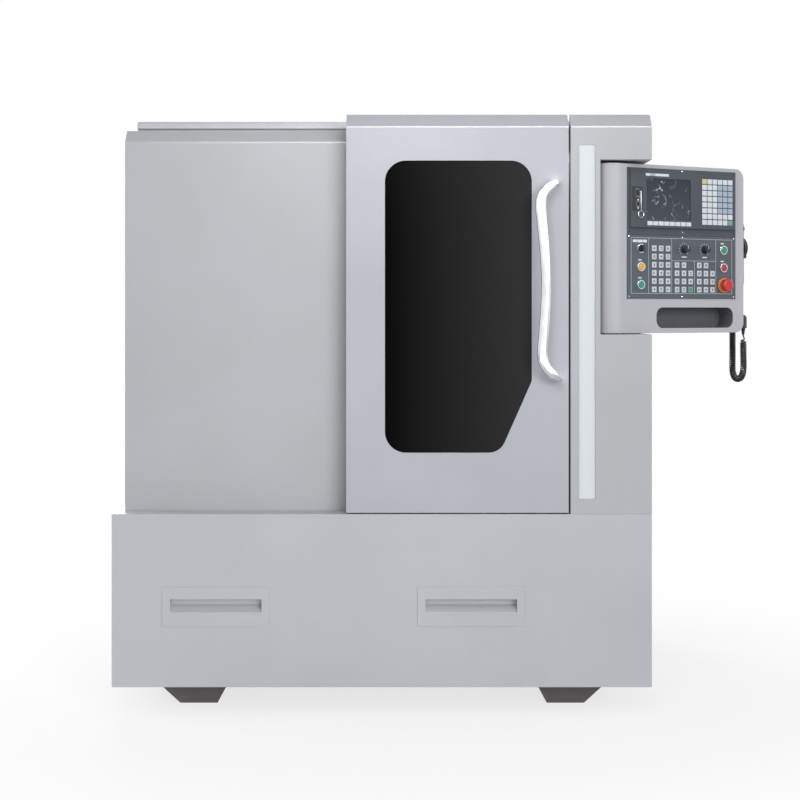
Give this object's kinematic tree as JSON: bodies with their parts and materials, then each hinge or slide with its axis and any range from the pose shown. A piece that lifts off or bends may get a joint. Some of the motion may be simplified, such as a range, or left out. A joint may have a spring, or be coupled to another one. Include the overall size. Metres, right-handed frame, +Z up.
{
  "type": "cnc machining center",
  "caption": "Enclosed vertical CNC machining centre with a sliding windowed door, a swivelling control box, chip drawers and a three-axis table and spindle head inside",
  "frame": {"origin": "on the floor, at the centre of the four anchor holes under the base", "axes": "+Z is up, -Y is the operator's side with the door, +X is towards the control box"},
  "size_m": [2.0763, 1.4189, 1.885],
  "materials": {
    "cover_paint": "satin powder coat, light grey",
    "base_paint": "satin powder coat, light grey",
    "box_paint": "satin powder coat, mid grey",
    "inner_paint": "satin paint, grey",
    "casting_paint": "painted casting",
    "foot_iron": "rough dark paint",
    "ground_steel": "ground",
    "galvanised": "plain sheet",
    "handle_chrome": "polished",
    "window_tint": "smoked, glossy",
    "strip_white": "milky diffuser",
    "lamp_white": "milky diffuser",
    "panel_dark": "fine grain, dark blue grey",
    "screen_glass": "dark screen",
    "key_light": "soft key tops",
    "port_black": "black plastic",
    "bezel_metal": "polished ring",
    "amber_plastic": "glossy",
    "green_plastic": "glossy",
    "red_plastic": "glossy",
    "yellow_plastic": "collar",
    "knob_black": "fine grain",
    "motor_black": "black paint",
    "cord_black": "curly cable sheath"
  },
  "bodies": {
    "machine_frame": {"levelling_feet": "foot_iron", "base_cabinet": "base_paint", "drawer_runners": "galvanised", "chip_pan": "galvanised", "left_cover": "cover_paint", "right_cover": "cover_paint", "right_side_cover": "cover_paint", "rear_cover": "cover_paint", "door_rail_beam": "cover_paint", "door_rail": "ground_steel", "light_strip": "strip_white", "work_lamp": "lamp_white", "bed_casting": "casting_paint", "column_casting": "casting_paint", "axis_motors": "motor_black", "electrical_cabinet": "base_paint", "swivel_pins": "ground_steel"},
    "sliding_door": {"door_panel": "cover_paint", "door_window": "window_tint", "door_hangers": "galvanised", "door_handle": "handle_chrome"},
    "left_tray": {"left_drawer": "base_paint"},
    "right_tray": {"right_drawer": "base_paint"},
    "saddle_body": {"saddle": "casting_paint"},
    "table_body": {"work_table": "ground_steel", "x_motor": "motor_black"},
    "x_screw_body": {"x_screw": "ground_steel"},
    "y_screw_body": {"y_screw": "ground_steel"},
    "z_screw_body": {"z_screw": "ground_steel"},
    "head_body": {"spindle_head": "casting_paint", "spindle_motor": "motor_black"},
    "spindle_body": {"spindle": "ground_steel"},
    "electrical_door_body": {"electrical_door": "base_paint"},
    "main_switch_body": {"main_switch_knob": "red_plastic"},
    "control_box": {"control_box_shell": "box_paint", "control_box_back": "box_paint", "display_unit": "panel_dark", "display_screen": "screen_glass", "display_keys": "key_light", "port_plate": "port_black", "operator_panel": "panel_dark", "operator_keys": "key_light", "button_bezels": "bezel_metal", "estop_collar": "yellow_plastic", "pendant_bracket": "galvanised", "pendant_case": "box_paint", "cord_gland": "port_black", "pendant_cord": "cord_black"},
    "amber_body": {"amber_button": "amber_plastic"},
    "left_green_body": {"left_green_button": "green_plastic"},
    "right_green_body": {"right_green_button": "green_plastic"},
    "red_body": {"red_button": "red_plastic"},
    "estop_body": {"estop_button": "red_plastic"},
    "mode_body": {"mode_selector": "knob_black"},
    "spindle_override_body": {"spindle_override_knob": "knob_black"},
    "feed_override_body": {"feed_override_knob": "knob_black"},
    "wheel_body": {"pendant_wheel": "knob_black"},
    "axis_knob_body": {"pendant_axis_knob": "knob_black"},
    "rate_knob_body": {"pendant_rate_knob": "knob_black"}
  },
  "joints": [
    {"name": "door_slide", "type": "slide", "parent": "machine_frame", "child": "sliding_door", "axis": [1, 0, 0], "range_m": [-0.69, 0]},
    {"name": "left_drawer_slide", "type": "slide", "parent": "machine_frame", "child": "left_tray", "axis": [0, -1, 0], "range_m": [0, 0.3]},
    {"name": "right_drawer_slide", "type": "slide", "parent": "machine_frame", "child": "right_tray", "axis": [0, -1, 0], "range_m": [0, 0.3]},
    {"name": "y_slide", "type": "slide", "parent": "machine_frame", "child": "saddle_body", "axis": [0, 1, 0], "range_m": [-0.08, 0.08]},
    {"name": "x_slide", "type": "slide", "parent": "saddle_body", "child": "table_body", "axis": [1, 0, 0], "range_m": [-0.15, 0.15]},
    {"name": "z_slide", "type": "slide", "parent": "machine_frame", "child": "head_body", "axis": [0, 0, 1], "range_m": [-0.15, 0.09]},
    {"name": "x_screw_spin", "type": "hinge", "parent": "table_body", "child": "x_screw_body", "pos_m": [0.12, -0.07, 0.7043], "axis": [1, 0, 0], "continuous": true},
    {"name": "y_screw_spin", "type": "hinge", "parent": "machine_frame", "child": "y_screw_body", "pos_m": [0.12, -0.07, 0.53], "axis": [0, 1, 0], "continuous": true},
    {"name": "z_screw_spin", "type": "hinge", "parent": "machine_frame", "child": "z_screw_body", "pos_m": [0.12, 0.1325, 1.3], "axis": [0, 0, 1], "continuous": true},
    {"name": "spindle_spin", "type": "hinge", "parent": "head_body", "child": "spindle_body", "pos_m": [0.12, -0.07, 1], "axis": [0, 0, 1], "continuous": true},
    {"name": "control_box_swivel", "type": "hinge", "parent": "machine_frame", "child": "control_box", "pos_m": [0.731, -0.571, 1.46], "axis": [0, 0, 1], "range_deg": [-80, 8]},
    {"name": "electrical_door_swing", "type": "hinge", "parent": "machine_frame", "child": "electrical_door_body", "pos_m": [0.476, 0.661, 1.15], "axis": [0, 0, 1], "range_deg": [-110, 0]},
    {"name": "main_switch_turn", "type": "hinge", "parent": "electrical_door_body", "child": "main_switch_body", "pos_m": [0.12, 0.67, 1.433], "axis": [0, 1, 0], "range_deg": [-90, 0]},
    {"name": "amber_press", "type": "slide", "parent": "control_box", "child": "amber_body", "axis": [-0.4772, 0.8788, 0], "range_m": [0, 0.004], "stiffness_N_per_m": 800},
    {"name": "left_green_press", "type": "slide", "parent": "control_box", "child": "left_green_body", "axis": [-0.4772, 0.8788, 0], "range_m": [0, 0.004], "stiffness_N_per_m": 800},
    {"name": "right_green_press", "type": "slide", "parent": "control_box", "child": "right_green_body", "axis": [-0.4772, 0.8788, 0], "range_m": [0, 0.004], "stiffness_N_per_m": 800},
    {"name": "red_press", "type": "slide", "parent": "control_box", "child": "red_body", "axis": [-0.4772, 0.8788, 0], "range_m": [0, 0.004], "stiffness_N_per_m": 800},
    {"name": "estop_press", "type": "slide", "parent": "control_box", "child": "estop_body", "axis": [-0.4772, 0.8788, 0], "range_m": [0, 0.005]},
    {"name": "mode_turn", "type": "hinge", "parent": "control_box", "child": "mode_body", "pos_m": [0.82346, -0.59249, 1.461], "axis": [0.4772, -0.8788, 0], "range_deg": [-60, 60]},
    {"name": "spindle_override_turn", "type": "hinge", "parent": "control_box", "child": "spindle_override_body", "pos_m": [0.97637, -0.50946, 1.461], "axis": [0.4772, -0.8788, 0], "range_deg": [-135, 135]},
    {"name": "feed_override_turn", "type": "hinge", "parent": "control_box", "child": "feed_override_body", "pos_m": [1.05019, -0.46938, 1.461], "axis": [0.4772, -0.8788, 0], "range_deg": [-135, 135]},
    {"name": "pendant_wheel_spin", "type": "hinge", "parent": "control_box", "child": "wheel_body", "pos_m": [1.18906, -0.30181, 1.473], "axis": [0.8788, 0.4772, 0], "continuous": true},
    {"name": "pendant_axis_turn", "type": "hinge", "parent": "control_box", "child": "axis_knob_body", "pos_m": [1.19718, -0.31675, 1.537], "axis": [0.8788, 0.4772, 0], "range_deg": [-60, 60]},
    {"name": "pendant_rate_turn", "type": "hinge", "parent": "control_box", "child": "rate_knob_body", "pos_m": [1.18095, -0.28687, 1.537], "axis": [0.8788, 0.4772, 0], "range_deg": [-45, 45]}
  ],
  "couplings": [
    {"joint": "x_screw_spin", "follows": "x_slide", "rad_per_m": 628.32},
    {"joint": "y_screw_spin", "follows": "y_slide", "rad_per_m": 628.32},
    {"joint": "z_screw_spin", "follows": "z_slide", "rad_per_m": 628.32}
  ]
}
